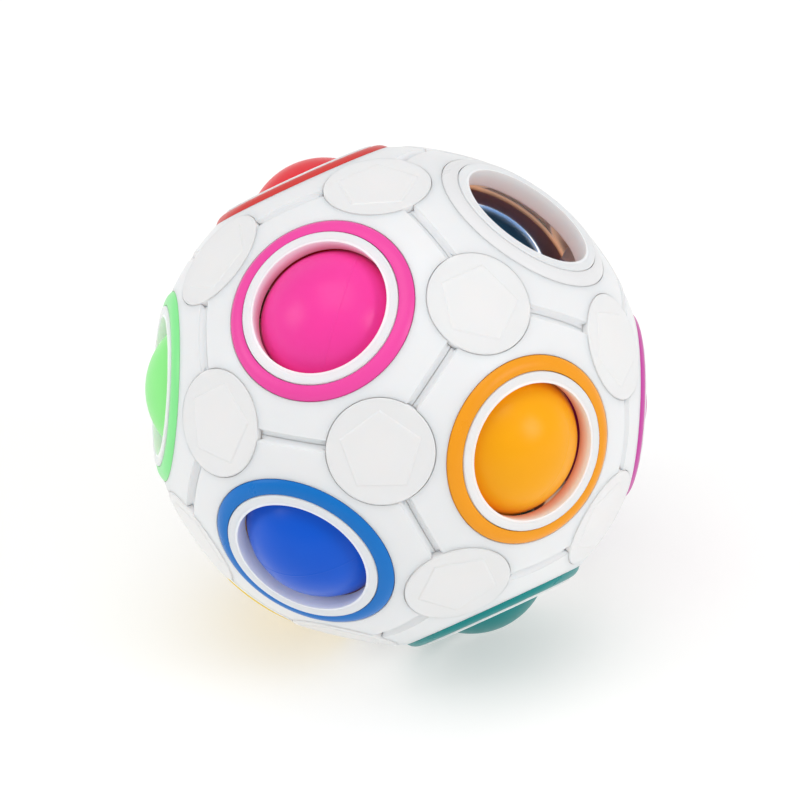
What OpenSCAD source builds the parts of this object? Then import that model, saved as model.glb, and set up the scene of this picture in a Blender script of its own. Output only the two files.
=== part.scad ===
// Rainbow puzzle ball: a hollow sphere of twelve white plastic panels, each with a round
// hole and a coloured ring. Eleven loose coloured balls fill all holes but one. A ball is
// pressed in and rolled to the empty hole until every ball sits in the ring of its colour.
// Millimetres. The origin is the middle of the sphere and +Z runs through a corner cap,
// so the puzzle rests on the flat pentagon of the opposite cap.

/* [Sphere] */
// Outer radius of the white sphere
sphere_r = 35; // [34.5:0.1:35.5]
// Thickness of a panel between its ring and its edges
wall = 1.6; // [1.2:0.1:1.8]
// Gap between two neighbouring panels
seam = 0.06; // [0.04:0.02:0.2]

/* [Holes] */
// Radius of a hole
hole_r = 9.7; // [9.4:0.1:9.8]
// Width of the white lip round a hole
lip_w = 1.55; // [1.35:0.05:1.7]
// Height of the lip's top, from the middle of the sphere
lip_top = 33.55; // [33.4:0.05:34]
// Rounding of the lip's edge over the hole
lip_inner_round = 0.7; // [0.3:0.05:0.9]
// Rounding of the lip's edge beside the ring
lip_outer_round = 0.2; // [0.1:0.05:0.4]
// Radius of the thick part of a panel round its hole
boss_r = 14.2; // [13.8:0.1:14.6]

/* [Rings] */
// Outer radius of a coloured ring
ring_r = 13.3; // [13.1:0.05:13.4]
// Height of a ring's crown, from the middle of the sphere
ring_top = 33.3; // [33.1:0.05:33.5]
// Radius of the crown's round section
crown_r = 2.3; // [2.2:0.05:2.6]
// Height of the floor that a ring sits on
ring_floor = 31.9; // [31.6:0.1:32.1]
// Gap on both sides of a ring
ring_gap = 0.1; // [0.05:0.01:0.2]

/* [Balls] */
// Radius of a coloured ball
ball_r = 11; // [10.8:0.05:11.05]
// Distance from the middle of the sphere to the middle of a ball that is fully out
ball_out = 25.4; // [25.3:0.05:25.5]
// How far a ball can be pressed in
press = 4.2; // [3.6:0.1:4.2]
// How unevenly the loose balls lie, as a share of the heights listed further down
unevenness = 1; // [0:0.05:1]
// Radius of the loose ball in the middle
core_r = 9.9; // [9:0.1:9.95]
// Clearance between a ball and the seat behind its hole
seat_gap = 0.15; // [0.1:0.05:0.25]

/* [Corner caps] */
// Radius of a corner cap
cap_r = 7.5; // [7.2:0.1:7.8]
// Gap round a corner cap
cap_gap = 0.08; // [0.06:0.01:0.2]
// Height of the flange that a cap sits on
cap_floor = 33.3; // [33.1:0.05:33.5]
// Height of a cap's flat disc, from the middle of the sphere
cap_top = 34.35; // [34.2:0.05:34.5]
// How far the pentagon stands up from the disc
flat_step = 0.13; // [0.05:0.01:0.3]
// Distance from the middle of the pentagon to its corners
flat_r = 6; // [5.6:0.1:6.3]
// Width of the slope round the pentagon
flat_slope = 0.35; // [0.2:0.05:0.5]
// Radius of the hole that a cap's post snaps into
post_hole_r = 2.9; // [2.6:0.1:3.1]

/* [Grooves] */
// Radius of the round groove along a seam
groove_r = 0.9; // [0.7:0.05:1.1]
// Depth of the groove
groove_d = 0.7; // [0.5:0.05:0.9]
// Width of the notch where a groove meets a cap
notch_w = 2; // [1.6:0.1:2.4]

/* [Hidden] */

// Above 12 sides, so a curve stays a true curve
$fn = 96;
// Clearance between pieces that are fixed together
fit = 0.05;
// Longer than anything that is cut
big = 80;
inner_r = sphere_r - wall;
// The inside of the thick parts: a pressed ball rolls just under it
boss_inner_r = ball_out - press + ball_r + 0.1;
lip_r = hole_r + lip_w;
flat_top = cap_top + flat_step;

// Angle between the axes of two neighbouring holes, and of a hole and a corner
hole_to_hole = acos(1 / sqrt(5));
hole_to_corner = acos(sqrt((5 + 2 * sqrt(5)) / 15));
// Angle from +Z of the second row of holes
second_row = acos(sqrt((5 - 2 * sqrt(5)) / 15));
// Angles of the first two rows of corners below the top one, and their spread
first_corners = acos(sqrt(5) / 3);
second_corners = acos(1 / 3);
corner_spread = atan(sqrt(3 / 5));

// Holes 0 to 11 lie in four rows of three
hole_tilts = [hole_to_corner, second_row, 180 - second_row, 180 - hole_to_corner];
function hole_row(h) = floor(h / 3);
function hole_tilt(h) = hole_tilts[hole_row(h)];
function hole_turn(h) = (hole_row(h) % 2 == 0 ? 270 : 330) + 120 * (h % 3);
function hole_spin(h) = hole_row(h) < 2 ? 0 : 180;

// Corners 0 to 9 are the top half, and 10 to 19 lie opposite them
function top_tilt(c) = c == 0 ? 0 : c < 4 ? first_corners : second_corners;
function top_turn(c) =
    c == 0 ? 0
    : c < 4 ? 330 + 120 * (c - 1)
    : 330 + 120 * floor((c - 4) / 2) + (c % 2 == 0 ? -1 : 1) * corner_spread;
function corner_tilt(c) = c < 10 ? top_tilt(c) : 180 - top_tilt(c - 10);
function corner_turn(c) = c < 10 ? top_turn(c) : 180 + top_turn(c - 10);

// The corner one seam nearer to the pole. A cap's pentagon turns a flat side to it, and only
// the pentagons of the two poles point a corner to their neighbour
function top_next(c) = c == 0 ? 1 : c < 4 ? 0 : 1 + floor((c - 4) / 2);
function corner_next(c) = c < 10 ? top_next(c) : 10 + top_next(c - 10);

function direction(tilt, turn) = [sin(tilt) * cos(turn), sin(tilt) * sin(turn), cos(tilt)];
function corner_at(c) = direction(corner_tilt(c), corner_turn(c));
function corner_spin(c) =
    let (next = corner_at(corner_next(c)),
         south = direction(corner_tilt(c) + 90, corner_turn(c)),
         east = direction(90, corner_turn(c) + 90))
    atan2(next * east, next * south) + (c % 10 == 0 ? 0 : 36);

// How much lower than fully out the loose ball of each hole lies
BALL_DROPS = [0.25, 0, 0.6, 0.4, 0.5, 0.75, 0, 1, 0.4, 0.7, 0.3, 0.5];

HOLE_COLORS = [
    "deeppink", "white", "red", "orange", "deepskyblue", "yellowgreen",
    "royalblue", "magenta", "sienna", "teal", "purple", "gold"
];

// Puts a piece that is drawn on +Z into hole h
module at_hole(h) {
    rotate([0, hole_tilt(h), hole_turn(h)])
        rotate([0, 0, hole_spin(h)])
            children();
}

// Puts a piece that is drawn on +Z onto corner c
module at_corner(c) {
    rotate([0, corner_tilt(c), corner_turn(c)])
        rotate([0, 0, corner_spin(c)])
            children();
}

// Repeats what is drawn on +Z at a panel's five corners, with +X along the one seam there
// that leads away from the panel
module at_panel_corners() {
    for (i = [0:4])
        rotate([0, hole_to_corner, 36 + 72 * i])
            children();
}

// Repeats a cutter at a panel's five seams, with +Z square to the seam's plane
module at_panel_seams() {
    for (i = [0:4])
        rotate([0, 90 + hole_to_hole / 2, 72 * i])
            children();
}

// Everything past one seam
module beyond_seam() {
    translate([-big / 2, -big / 2, -seam / 2])
        cube([big, big, big]);
}

// The round groove that follows a seam round the sphere
module seam_groove() {
    rotate_extrude()
        translate([sphere_r + groove_r - groove_d, 0])
            circle(r = groove_r);
}

// The small deep notches where a panel's own two seams leave a cap
module seam_notches() {
    for (side = [120, 240])
        rotate([0, 0, side])
            translate([0, 0, sphere_r - groove_d - 0.9])
                linear_extrude(height = 3)
                    polygon([
                        [cap_r - 0.6, -notch_w / 2],
                        [cap_r + 1.9, 0],
                        [cap_r - 0.6, notch_w / 2]
                    ]);
}

// Room for a cap: its disc, and the hole for its post
module cap_pocket() {
    translate([0, 0, cap_floor - fit])
        cylinder(r = cap_r + cap_gap, h = 4);
    cylinder(r = post_hole_r, h = big);
}

// The white lip round a hole, with a soft edge over the hole and a crisp one by the ring
module lip() {
    low = boss_inner_r - 1;
    full_w = lip_w - lip_inner_round - lip_outer_round;
    rotate_extrude() {
        translate([hole_r, low])
            square([lip_w, lip_top - lip_inner_round - low]);
        translate([hole_r + lip_inner_round, low])
            square([full_w, lip_top - low]);
        translate([hole_r + lip_inner_round, low])
            square([lip_w - lip_inner_round, lip_top - lip_outer_round - low]);
        translate([hole_r + lip_inner_round, lip_top - lip_inner_round])
            circle(r = lip_inner_round);
        translate([lip_r - lip_outer_round, lip_top - lip_outer_round])
            circle(r = lip_outer_round);
    }
}

// One panel, round +Z
module panel_shape() {
    difference() {
        union() {
            difference() {
                sphere(r = sphere_r);
                sphere(r = inner_r);
            }
            intersection() {
                difference() {
                    sphere(r = sphere_r);
                    sphere(r = boss_inner_r);
                }
                cylinder(r = boss_r, h = big);
            }
            at_panel_corners()
                translate([0, 0, boss_inner_r - 0.1])
                    cylinder(r = cap_r + 0.8, h = cap_floor - boss_inner_r + 0.1);
            lip();
        }
        at_panel_seams() beyond_seam();
        at_panel_seams() seam_groove();
        at_panel_corners() cap_pocket();
        at_panel_corners() seam_notches();
        // Recess for the ring
        translate([0, 0, ring_floor])
            difference() {
                cylinder(r = ring_r + ring_gap, h = 4);
                cylinder(r = lip_r, h = 4);
            }
        // The hole, and the round seat behind it
        cylinder(r = hole_r, h = big);
        translate([0, 0, ball_out])
            sphere(r = ball_r + seat_gap);
    }
}

module panel(h) {
    color("white")
        at_hole(h)
            panel_shape();
}

// A ring is flat below, and its crown is highest near the lip
module ring(h) {
    inner = lip_r + ring_gap;
    low = ring_floor + fit;
    color(HOLE_COLORS[h])
        at_hole(h)
            rotate_extrude()
                intersection() {
                    translate([inner, low])
                        square([ring_r - inner, 4]);
                    union() {
                        translate([inner, low])
                            square([ring_r - inner, 0.4]);
                        translate([inner + 0.1, ring_top - crown_r])
                            circle(r = crown_r);
                    }
                }
}

module puzzle_ball(h) {
    color(HOLE_COLORS[h])
        at_hole(h)
            translate([0, 0, ball_out - unevenness * BALL_DROPS[h]])
                sphere(r = ball_r);
}

module core_ball() {
    color("silver")
        sphere(r = core_r);
}

// A cap has a flat disc with a low pentagon, and a split post whose barbs snap behind the
// corners of three panels
module cap(c) {
    post_r = post_hole_r - 0.3;
    post_low = boss_inner_r - 2;
    barb_top = boss_inner_r - 0.25;
    rim = 0.12;
    color("white")
        at_corner(c)
            difference() {
                union() {
                    translate([0, 0, cap_floor])
                        cylinder(r = cap_r, h = cap_top - rim - cap_floor);
                    translate([0, 0, cap_top - rim])
                        cylinder(r1 = cap_r, r2 = cap_r - rim, h = rim);
                    translate([0, 0, cap_top - fit])
                        linear_extrude(height = flat_step + fit, scale = 1 - flat_slope / flat_r)
                            polygon([for (i = [0:4]) flat_r * [cos(72 * i), sin(72 * i)]]);
                    translate([0, 0, post_low])
                        cylinder(r = post_r, h = cap_floor - post_low + 0.5);
                    translate([0, 0, post_low])
                        cylinder(r1 = post_r - 0.2, r2 = post_r + 0.7, h = barb_top - post_low);
                }
                // Three slots let the post spring inwards
                translate([0, 0, post_low - 1])
                    cylinder(r = post_r - 1.1, h = cap_floor - post_low);
                for (turn = [0, 120, 240])
                    rotate([0, 0, turn + 60])
                        translate([0, -0.4, post_low - 1])
                            cube([5, 0.8, cap_floor - post_low]);
            }
}

panel(0);  // panel_pink
panel(1);  // panel_white
panel(2);  // panel_red
panel(3);  // panel_orange
panel(4);  // panel_sky_blue
panel(5);  // panel_light_green
panel(6);  // panel_blue
panel(7);  // panel_magenta
panel(8);  // panel_brown
panel(9);  // panel_teal
panel(10);  // panel_purple
panel(11);  // panel_yellow

ring(0);  // ring_pink
ring(1);  // ring_white
ring(2);  // ring_red
ring(3);  // ring_orange
ring(4);  // ring_sky_blue
ring(5);  // ring_light_green
ring(6);  // ring_blue
ring(7);  // ring_magenta
ring(8);  // ring_brown
ring(9);  // ring_teal
ring(10);  // ring_purple
ring(11);  // ring_yellow

puzzle_ball(0);  // ball_pink
puzzle_ball(2);  // ball_red
puzzle_ball(3);  // ball_orange
puzzle_ball(4);  // ball_sky_blue
puzzle_ball(5);  // ball_light_green
puzzle_ball(6);  // ball_blue
puzzle_ball(7);  // ball_magenta
puzzle_ball(8);  // ball_brown
puzzle_ball(9);  // ball_teal
puzzle_ball(10);  // ball_purple
puzzle_ball(11);  // ball_yellow
core_ball();

cap(0);  // cap_01
cap(1);  // cap_02
cap(2);  // cap_03
cap(3);  // cap_04
cap(4);  // cap_05
cap(5);  // cap_06
cap(6);  // cap_07
cap(7);  // cap_08
cap(8);  // cap_09
cap(9);  // cap_10
cap(10);  // cap_11
cap(11);  // cap_12
cap(12);  // cap_13
cap(13);  // cap_14
cap(14);  // cap_15
cap(15);  // cap_16
cap(16);  // cap_17
cap(17);  // cap_18
cap(18);  // cap_19
cap(19);  // cap_20
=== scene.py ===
# %% [markdown]
# # A rainbow puzzle ball
# This lesson gives a finished look to a hand-sized puzzle: a hollow white plastic sphere with
# twelve round holes, a coloured ring round each hole, and eleven coloured balls that are pushed
# in and rolled about inside it until each sits in the ring of its own colour.
# The shape comes ready made from a CAD model. It could be modelled again by eye, but loading
# the exact solids as a fixed frame keeps every size and every moving part true.

# %% Load the frame
from math import acos, cos, pi, radians, sin, sqrt

import bpy
from mathutils import Matrix, Vector


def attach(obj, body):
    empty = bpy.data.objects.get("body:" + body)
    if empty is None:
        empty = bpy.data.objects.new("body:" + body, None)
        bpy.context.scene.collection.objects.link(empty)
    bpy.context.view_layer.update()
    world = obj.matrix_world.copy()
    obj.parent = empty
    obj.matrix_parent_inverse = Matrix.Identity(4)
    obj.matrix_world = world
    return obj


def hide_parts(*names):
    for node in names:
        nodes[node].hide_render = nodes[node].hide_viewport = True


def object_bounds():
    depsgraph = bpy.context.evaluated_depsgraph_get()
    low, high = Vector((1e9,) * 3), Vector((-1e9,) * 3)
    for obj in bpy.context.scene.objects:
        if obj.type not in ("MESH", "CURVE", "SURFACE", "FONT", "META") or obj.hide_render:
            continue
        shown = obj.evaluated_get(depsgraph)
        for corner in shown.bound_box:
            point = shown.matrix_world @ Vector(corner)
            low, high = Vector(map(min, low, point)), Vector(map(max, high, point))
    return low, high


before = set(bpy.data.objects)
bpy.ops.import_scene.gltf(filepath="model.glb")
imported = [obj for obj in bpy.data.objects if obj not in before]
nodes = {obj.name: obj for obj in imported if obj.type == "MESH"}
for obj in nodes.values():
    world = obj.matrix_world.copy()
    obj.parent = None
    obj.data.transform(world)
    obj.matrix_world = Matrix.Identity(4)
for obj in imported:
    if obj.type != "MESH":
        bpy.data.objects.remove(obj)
cad_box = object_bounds()
print("nodes", len(nodes), "box", cad_box)

# %% [markdown]
# ## The camera
# A small toy is photographed from about a metre away with a long lens, so its circles stay
# nearly true. The camera could be placed by trial, but a direction, a distance and a
# small roll say plainly where it stands, and they are easy to change.

# %% Camera
MM = 0.001
CAMERA_TURN = radians(-62.341)
CAMERA_RISE = radians(31.996)
CAMERA_ROLL = radians(5.596)
CAMERA_AWAY = 1005.3 * MM
AIM_RIGHT = 0.309 * MM
AIM_UP = -0.587 * MM
LENS_LENGTH = 321.63
SENSOR_WIDTH = 36
CLIP = (0.05, 20)

back = Vector((cos(CAMERA_RISE) * cos(CAMERA_TURN), cos(CAMERA_RISE) * sin(CAMERA_TURN),
               sin(CAMERA_RISE)))
level_right = Vector((0, 0, 1)).cross(back).normalized()
level_up = back.cross(level_right)
right = level_right * cos(CAMERA_ROLL) + level_up * sin(-CAMERA_ROLL)
up = back.cross(right)

lens = bpy.data.cameras.new("camera")
lens.sensor_width = SENSOR_WIDTH
lens.lens = LENS_LENGTH
lens.clip_start, lens.clip_end = CLIP
camera = bpy.data.objects.new("camera", lens)
bpy.context.collection.objects.link(camera)
place = Matrix((right, up, back)).transposed().to_4x4()
place.translation = back * CAMERA_AWAY + right * AIM_RIGHT + up * AIM_UP
camera.matrix_world = place
bpy.context.scene.camera = camera
print("camera at", [round(v, 3) for v in place.translation])

# %% [markdown]
# ## Floor and light
# The toy stands on a white table in a light tent: the light comes softly from all round, a
# little stronger from above and from both sides of the camera, and the floor burns out to
# white. Many small lamps could do that, but one large sheet of paper, an evenly bright
# surrounding and three broad lamps are enough. The paper glows a little of its own, as if
# light came through it from below, so shadows on it stay pale. The flat pentagon of the
# lowest corner cap is the lowest point of the frame, so the floor goes exactly there.

# %% Floor and lamps
FLOOR_SIDE = 6.0
PAPER_WHITE = (0.66, 0.66, 0.655, 1)
PAPER_GLOW_COLOUR = (1, 1, 0.98, 1)
PAPER_GLOW = 0.37
TENT_LIGHT = 0.60
LAMP_AWAY = 1.6
LAMPS = [  # name, direction it shines from, width in metres, watts
    ("overhead", Vector((0.05, -0.1, 1)), 1.2, 8.5),
    ("left", back * 0.33 - right * 0.88 + up * 0.3, 0.7, 5.0),
    ("right_front", back * 0.62 + right * 0.76 + up * 0.2, 0.6, 6.0),
]
floor_height = cad_box[0][2]

bpy.ops.object.select_all(action="DESELECT")
bpy.ops.mesh.primitive_plane_add(size=FLOOR_SIDE, location=(0, 0, floor_height))
floor = bpy.context.object
floor.name = "floor"

floor_paper = bpy.data.materials.new("white_paper")
floor_paper.use_nodes = True
paper = floor_paper.node_tree.nodes["Principled BSDF"]
paper.inputs["Base Color"].default_value = PAPER_WHITE
paper.inputs["Roughness"].default_value = 0.6
paper.inputs["Specular IOR Level"].default_value = 0.2
paper.inputs["Emission Color"].default_value = PAPER_GLOW_COLOUR
paper.inputs["Emission Strength"].default_value = PAPER_GLOW
floor.data.materials.append(floor_paper)

world = bpy.data.worlds.new("light_tent")
world.use_nodes = True
tent = world.node_tree.nodes["Background"]
tent.inputs["Color"].default_value = (1, 1, 1, 1)
tent.inputs["Strength"].default_value = TENT_LIGHT
bpy.context.scene.world = world

for name, towards, width, watts in LAMPS:
    lamp_data = bpy.data.lights.new(name, "AREA")
    lamp_data.shape = "SQUARE"
    lamp_data.size = width
    lamp_data.energy = watts
    lamp = bpy.data.objects.new(name, lamp_data)
    bpy.context.collection.objects.link(lamp)
    lamp.location = towards.normalized() * LAMP_AWAY
    lamp.rotation_euler = towards.to_track_quat("Z", "Y").to_euler()

bpy.context.scene.view_settings.view_transform = "Standard"
print("floor at", floor_height, "lamps", len(LAMPS))

# %% [markdown]
# ## Where the pieces go
# Twelve holes sit like the faces of a dodecahedron, in four rows of three. The places could
# be read off the CAD meshes, but they follow from two angles, the same ones that the CAD
# uses. `stand_on_hole` turns a piece made upright on +Z into its own hole.

# %% Directions of the holes
HOLE_NAMES = ["pink", "white", "red", "orange", "sky_blue", "light_green",
              "blue", "magenta", "brown", "teal", "purple", "yellow"]
HOLE_TO_CORNER = acos(sqrt((5 + 2 * sqrt(5)) / 15))
SECOND_ROW = acos(sqrt((5 - 2 * sqrt(5)) / 15))
HOLE_TILTS = [HOLE_TO_CORNER, SECOND_ROW, pi - SECOND_ROW, pi - HOLE_TO_CORNER]


def stand_on_hole(hole):
    """The turn that takes a piece from upright on +Z into one of the twelve holes."""
    row = hole // 3
    first_turn = 270 if row % 2 == 0 else 330
    turn = Matrix.Rotation(radians(first_turn + 120 * (hole % 3)), 4, "Z")
    tilt = Matrix.Rotation(HOLE_TILTS[row], 4, "Y")
    spin = Matrix.Rotation(0 if row < 2 else pi, 4, "Z")
    return turn @ tilt @ spin


first_direction = stand_on_hole(0) @ Vector((0, 0, 1))
print("first hole looks along", [round(v, 3) for v in first_direction])

# %% [markdown]
# ## Moulded plastic
# Every piece is injection-moulded ABS, so one recipe serves them all: a colour that drifts
# very slightly over the surface, a fine grain from the mould in the bump, a few rub marks
# that change only the gloss, and softened edges. Separate materials could be drawn by hand,
# but a function with the few differences as arguments keeps them alike where they should be.

# %% A recipe for moulded plastic
PLASTIC_IOR = 1.5
LIGHT_REACH = (1.0, 0.8, 0.7)
CLOUD_SCALE = 70
RUB_SCALE = 260
RUB_STRETCH = (1, 0.35, 0.7)
RUB_RANGE = (0.3, 0.7)
GRAIN_SCALE = 1800
GRAIN_DEPTH = 0.03 * MM


def add_node(material, kind, **settings):
    """Adds a shader node; each setting names an input, or an attribute of the node."""
    node = material.node_tree.nodes.new(kind)
    for key, value in settings.items():
        name = key.replace("_", " ")
        if name in node.inputs:
            node.inputs[name].default_value = value
        else:
            setattr(node, key, value)
    return node


def ramp(material, value, start, end, low=0.0, high=1.0):
    """Runs from low at start to high at end; start may be the larger of the two."""
    fade = add_node(material, "ShaderNodeMapRange", From_Min=start, From_Max=end,
                    To_Min=low, To_Max=high)
    material.node_tree.links.new(value, fade.inputs["Value"])
    return fade.outputs["Result"]


def moulded_plastic(name, colour, drift, gloss, grain=0.12, edge=0.15, glow=0.0,
                    depth=1.2, shine_level=0.5):
    """colour and drift are the two ends of a faint colour change; gloss is (low, high)
    roughness; grain is how strong the mould's texture is; edge is a softened edge in mm;
    glow and depth are how much light enters the plastic, and how far in mm."""
    material = bpy.data.materials.new(name)
    material.use_nodes = True
    link = material.node_tree.links.new
    shader = material.node_tree.nodes["Principled BSDF"]
    shader.inputs["IOR"].default_value = PLASTIC_IOR
    shader.inputs["Specular IOR Level"].default_value = shine_level
    shader.inputs["Subsurface Weight"].default_value = glow
    shader.inputs["Subsurface Radius"].default_value = LIGHT_REACH
    shader.inputs["Subsurface Scale"].default_value = depth * MM
    place_on_piece = add_node(material, "ShaderNodeTexCoord").outputs["Object"]

    cloud = add_node(material, "ShaderNodeTexNoise", Scale=CLOUD_SCALE, Detail=3,
                     Roughness=0.5)
    link(place_on_piece, cloud.inputs["Vector"])
    tint = add_node(material, "ShaderNodeMix", data_type="RGBA")
    tint.inputs["A"].default_value = (*colour, 1)
    tint.inputs["B"].default_value = (*drift, 1)
    link(cloud.outputs["Fac"], tint.inputs["Factor"])
    link(tint.outputs["Result"], shader.inputs["Base Color"])

    stretch = add_node(material, "ShaderNodeMapping", Scale=RUB_STRETCH)
    rubs = add_node(material, "ShaderNodeTexNoise", Scale=RUB_SCALE, Detail=6,
                    Roughness=0.65)
    link(place_on_piece, stretch.inputs["Vector"])
    link(stretch.outputs["Vector"], rubs.inputs["Vector"])
    link(ramp(material, rubs.outputs["Fac"], *RUB_RANGE, *gloss), shader.inputs["Roughness"])

    texture = add_node(material, "ShaderNodeTexNoise", Scale=GRAIN_SCALE, Detail=2,
                       Roughness=0.5)
    link(place_on_piece, texture.inputs["Vector"])
    bump = add_node(material, "ShaderNodeBump", Strength=grain, Distance=GRAIN_DEPTH)
    link(texture.outputs["Fac"], bump.inputs["Height"])
    if edge:
        round_edge = add_node(material, "ShaderNodeBevel", samples=4, Radius=edge * MM)
        link(round_edge.outputs["Normal"], bump.inputs["Normal"])
    link(bump.outputs["Normal"], shader.inputs["Normal"])
    return material


def dress(node, material):
    """Gives a CAD node its finish, through the material slots that it already has."""
    for slot in nodes[node].material_slots:
        slot.material = material


# %% [markdown]
# ## Light painted into thin white plastic
# The plastic is thin, so some light comes through it. The panel's subsurface setting carries a
# little of it, and the rest is painted: each hole's wall gets a painted glow, brighter than
# its shade would make it, and a painted tint of the light from the ball behind it. The back
# of each panel is painted amber and given a painted glow, for the warm light inside the
# shell; it shows as a brown rim deep in the empty hole. Light could be traced through the
# wall, and the faces at the back could get a second material. But a place in the panel tells
# wall from back just as well: painted light by place is quick and free of noise, and the
# panel's mesh is left alone. The painted light stays the same under any lamp and in any pose.

# %% Painted tint and glow by place
# Painted light: the amber on the back of each panel, and its glow, stand in for warm light
# inside the shell, not for the plastic's own colour.
PAINTED_WARM_LIGHT = (0.66, 0.42, 0.28)
BACK_STARTS = 32.95 * MM
BACK_ENDS = 33.10 * MM
WALL_RADIUS = 9.9 * MM
WALL_BLEND = 0.2 * MM
WALL_FOOT = 30.9 * MM
WALL_TOP = 33.0 * MM
GLOW_STARTS = 32.29 * MM
GLOW_FULL = 32.80 * MM
BACK_GLOW = 0.5
WALL_GLOW = 0.11


def colour_where(material, share, colour):
    """Mixes a colour over the base colour wherever the share socket is above nought."""
    links = material.node_tree.links
    base = material.node_tree.nodes["Principled BSDF"].inputs["Base Color"]
    both = add_node(material, "ShaderNodeMix", data_type="RGBA")
    links.new(share, both.inputs["Factor"])
    links.new(base.links[0].from_socket, both.inputs["A"])
    both.inputs["B"].default_value = (*colour, 1)
    links.new(both.outputs["Result"], base)


def calculate(material, operation, first, second):
    """A maths node on two values, each of them a socket or a number."""
    sums = add_node(material, "ShaderNodeMath", operation=operation)
    for place, value in enumerate((first, second)):
        if isinstance(value, float):
            sums.inputs[place].default_value = value
        else:
            material.node_tree.links.new(value, sums.inputs[place])
    return sums.outputs["Value"]


def place_in_panel(material, hole):
    """Height along the hole's axis, distance from that axis and from the ball's middle."""
    link = material.node_tree.links.new
    upright = add_node(material, "ShaderNodeMapping", vector_type="TEXTURE",
                       Rotation=stand_on_hole(hole).to_euler())
    link(add_node(material, "ShaderNodeTexCoord").outputs["Object"], upright.inputs["Vector"])
    parts = add_node(material, "ShaderNodeSeparateXYZ")
    link(upright.outputs["Vector"], parts.inputs["Vector"])
    flat = add_node(material, "ShaderNodeCombineXYZ")
    link(parts.outputs["X"], flat.inputs["X"])
    link(parts.outputs["Y"], flat.inputs["Y"])
    from_axis = add_node(material, "ShaderNodeVectorMath", operation="LENGTH")
    link(flat.outputs["Vector"], from_axis.inputs[0])
    from_middle = add_node(material, "ShaderNodeVectorMath", operation="LENGTH")
    link(upright.outputs["Vector"], from_middle.inputs[0])
    return parts.outputs["Z"], from_axis.outputs["Value"], from_middle.outputs["Value"]


def paint_light_in_panel(material, hole, painted_wall_light):
    """Paints light into one panel: a tint of the ball's light on the wall, warm amber light on
    the back, and a painted glow on both.
    """
    height, from_axis, from_middle = place_in_panel(material, hole)
    wall_edge = WALL_RADIUS + WALL_BLEND

    on_wall = ramp(material, from_axis, wall_edge, WALL_RADIUS)
    near_foot = ramp(material, height, WALL_TOP, WALL_FOOT)
    colour_where(material, calculate(material, "MULTIPLY", on_wall, near_foot), painted_wall_light)

    off_wall = ramp(material, from_axis, WALL_RADIUS, wall_edge)
    inside = ramp(material, from_middle, BACK_ENDS, BACK_STARTS)
    behind = calculate(material, "MULTIPLY", inside, off_wall)
    colour_where(material, behind, PAINTED_WARM_LIGHT)

    thin = ramp(material, from_middle, GLOW_STARTS, GLOW_FULL)
    lit_back = calculate(material, "MULTIPLY", behind, thin)
    back_glow = calculate(material, "MULTIPLY", lit_back, BACK_GLOW)
    wall_glow = calculate(material, "MULTIPLY", on_wall, WALL_GLOW)
    glow = calculate(material, "ADD", wall_glow, back_glow)
    shader = material.node_tree.nodes["Principled BSDF"]
    material.node_tree.links.new(glow, shader.inputs["Emission Strength"])
    material.node_tree.links.new(shader.inputs["Base Color"].links[0].from_socket,
                                 shader.inputs["Emission Color"])


print("amber from", BACK_ENDS, "inwards")

# %% [markdown]
# ## The white shell
# The panels are a bright, slightly cool white with a satin skin. The caps come from another
# mould and look a touch warmer, which is why they stay visible against the panels. One
# material could serve all twelve panels, but the painted light on the wall of each hole
# differs, so each panel has its own.

# %% White panels and caps
PANEL_WHITE = (0.84, 0.845, 0.855)
PANEL_SHADE = (0.81, 0.815, 0.825)
CAP_WHITE = (0.845, 0.835, 0.835)
CAP_SHADE = (0.815, 0.805, 0.805)
PANEL_GLOSS = (0.30, 0.42)
CAP_GLOSS = (0.32, 0.44)
# Painted light: each wall colour stands in for the light of the ball behind it, strongest at
# the foot of the wall, and it also glows.
PLAIN_WALL_PAINTED_LIGHT = (0.80, 0.80, 0.82)
WALL_PAINTED_BALL_LIGHT = {"pink": (0.92, 0.42, 0.55), "orange": (1.0, 0.40, 0.22),
              "white": (0.86, 0.70, 0.68), "red": (0.9, 0.5, 0.5)}

# Each panel's material carries its painted wall light and its painted amber back.
for hole, name in enumerate(HOLE_NAMES):
    panel_with_painted_light = moulded_plastic("panel_white_" + name, PANEL_WHITE, PANEL_SHADE,
                                  PANEL_GLOSS, glow=0.5, depth=2.5)
    paint_light_in_panel(panel_with_painted_light, hole, WALL_PAINTED_BALL_LIGHT.get(name, PLAIN_WALL_PAINTED_LIGHT))
    dress("panel_" + name, panel_with_painted_light)

cap_white = moulded_plastic("cap_white", CAP_WHITE, CAP_SHADE, CAP_GLOSS, glow=0.4,
                            depth=2.0)
cap_nodes = [node for node in nodes if node.startswith("cap_")]
for node in cap_nodes:
    dress(node, cap_white)
print("panels", len(HOLE_NAMES), "caps", len(cap_nodes))

# %% [markdown]
# ## Ring colours
# The rings are the plain, bright colours of a paint box, one to a hole, and the hole that is
# left empty has a white one. A table of names keeps them together. Each ring also gets a
# slightly deeper twin of its colour, which the recipe drifts towards.

# %% Coloured rings
RING_GLOSS = (0.26, 0.38)
RING_COLOURS = {
    "pink": (0.92, 0.075, 0.40), "white": (0.84, 0.84, 0.85), "red": (0.68, 0.055, 0.05),
    "orange": (0.95, 0.36, 0.012), "sky_blue": (0.05, 0.34, 0.80),
    "light_green": (0.28, 0.90, 0.33), "blue": (0.004, 0.18, 0.60),
    "magenta": (0.60, 0.06, 0.38), "brown": (0.19, 0.07, 0.03), "teal": (0.0, 0.25, 0.25),
    "purple": (0.17, 0.04, 0.38), "yellow": (0.95, 0.66, 0.03),
}


def deeper(colour, share=0.86):
    """A slightly darker twin of a colour."""
    return tuple(channel * share for channel in colour)


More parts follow.
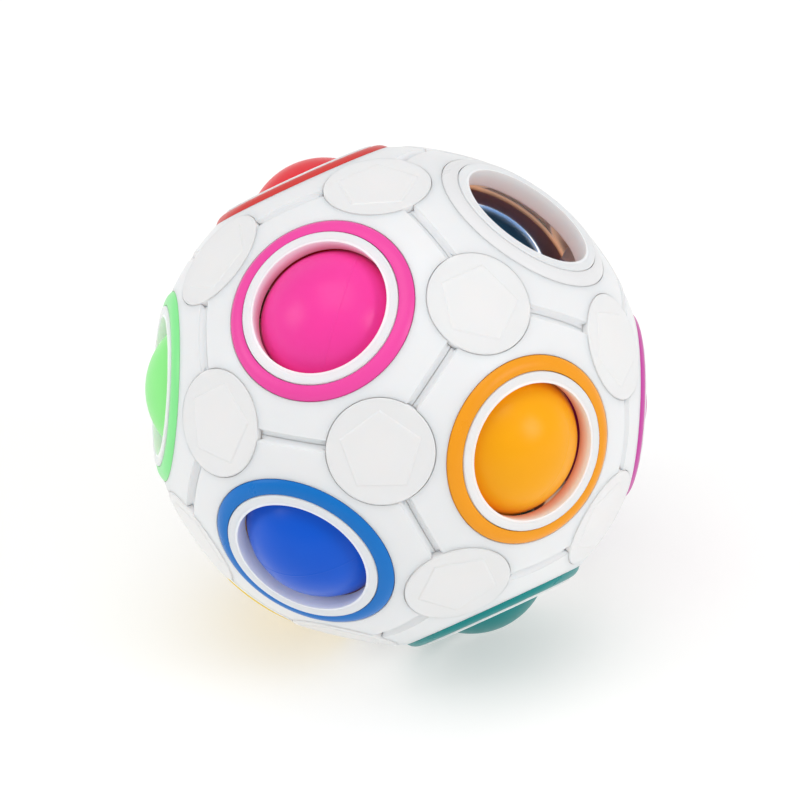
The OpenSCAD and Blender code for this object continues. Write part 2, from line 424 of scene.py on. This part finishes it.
for name, colour in RING_COLOURS.items():
    ring_plastic = moulded_plastic(name + "_ring_plastic", colour, deeper(colour),
                                   RING_GLOSS, glow=0.08, depth=1.0, shine_level=0.2)
    dress("ring_" + name, ring_plastic)
print("rings", len(RING_COLOURS))

# %% [markdown]
# ## The balls
# A solid ball of this size is moulded in two half shells of steel, and a hair-thin raised
# line stays where they met. A plain sphere from the frame has no such line, so each ball is
# modelled: a sphere primitive, its middle ring of edges bevelled into a narrow band, and the
# band pushed out by a few hundredths of a millimetre. The line of every ball lies at its own
# slant, because the balls roll and never stop the same way up.

# %% One ball with its parting line
BALL_RADIUS = 11 * MM
LINE_WIDTH = 0.2 * MM
LINE_HEIGHT = 0.05 * MM
EQUATOR = 0.001 * BALL_RADIUS


def select_middle_edges(ball_object):
    """Selects, in edit mode, exactly the edges that lie on the ball's equator."""
    bpy.ops.mesh.select_all(action="DESELECT")
    bpy.ops.object.mode_set(mode="OBJECT")
    mesh = ball_object.data
    for edge in mesh.edges:
        edge.select = all(abs(mesh.vertices[end].co.z) < EQUATOR for end in edge.vertices)
    bpy.ops.object.mode_set(mode="EDIT")
    bpy.ops.mesh.select_mode(type="EDGE")


bpy.ops.object.select_all(action="DESELECT")
bpy.ops.mesh.primitive_uv_sphere_add(segments=128, ring_count=64, radius=BALL_RADIUS)
master_ball = bpy.context.object
master_ball.name = "ball_master"
bpy.ops.object.mode_set(mode="EDIT")
select_middle_edges(master_ball)
bpy.ops.mesh.bevel(offset=LINE_WIDTH, segments=4, profile=0.5)
select_middle_edges(master_ball)
bpy.ops.transform.shrink_fatten(value=LINE_HEIGHT)
bpy.ops.object.mode_set(mode="OBJECT")
bpy.ops.object.shade_smooth()
print("ball faces", len(master_ball.data.polygons), "width", master_ball.dimensions.x)

# %% [markdown]
# ## Eleven balls in their holes
# The balls are copies of the one above, each with its own mesh, turned and set into its seat
# behind the hole. The turn and place go into the mesh and not the object, so a pattern in
# the plastic stays with the ball when it is pressed in. The balls wedge against each other
# inside, so each sits at a slightly different height.

# %% Copy the balls
BALL_OUT = 25.4 * MM
BALL_DROPS = [0.25, 0, 0.6, 0.4, 0.5, 0.75, 0, 1, 0.4, 0.7, 0.3, 0.5]
ROLL_STEP = 47
BALL_GLOSS = (0.27, 0.36)
CORE_GREY = (0.35, 0.35, 0.36)
CORE_SHADE = (0.30, 0.30, 0.31)
CORE_GLOSS = (0.4, 0.5)
BALL_COLOURS = dict(RING_COLOURS, pink=(0.97, 0.05, 0.38), red=(0.84, 0.035, 0.05),
                    orange=(1.0, 0.42, 0.0), blue=(0.0, 0.10, 0.66),
                    light_green=(0.30, 0.92, 0.28), teal=(0.0, 0.22, 0.22),
                    sky_blue=(0.08, 0.46, 1.0))
LINE_SLANTS = [70, 0, 25, 115, 40, 60, 95, 20, 10, 130, 35, 80]

for hole, name in enumerate(HOLE_NAMES):
    if name == "white":
        continue
    ball = bpy.data.objects.new("puzzle_ball_" + name, master_ball.data.copy())
    bpy.context.collection.objects.link(ball)
    slant = Matrix.Rotation(radians(LINE_SLANTS[hole]), 4, "X")
    roll = Matrix.Rotation(radians(ROLL_STEP * hole), 4, "Z")
    seat = Matrix.Translation((0, 0, BALL_OUT - BALL_DROPS[hole] * MM))
    ball.data.transform(stand_on_hole(hole) @ seat @ roll @ slant)
    colour = BALL_COLOURS[name]
    ball_plastic = moulded_plastic(name + "_ball_plastic", colour, deeper(colour),
                                   BALL_GLOSS, grain=0.03, edge=0, glow=0.12, depth=2.0,
                                   shine_level=0.22)
    ball.data.materials.append(ball_plastic)
    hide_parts("ball_" + name)
    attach(ball, name + "_ball")

bpy.data.objects.remove(master_ball)
dress("core_ball", moulded_plastic("core_grey", CORE_GREY, CORE_SHADE, CORE_GLOSS))
print("balls", len(BALL_COLOURS) - 1)
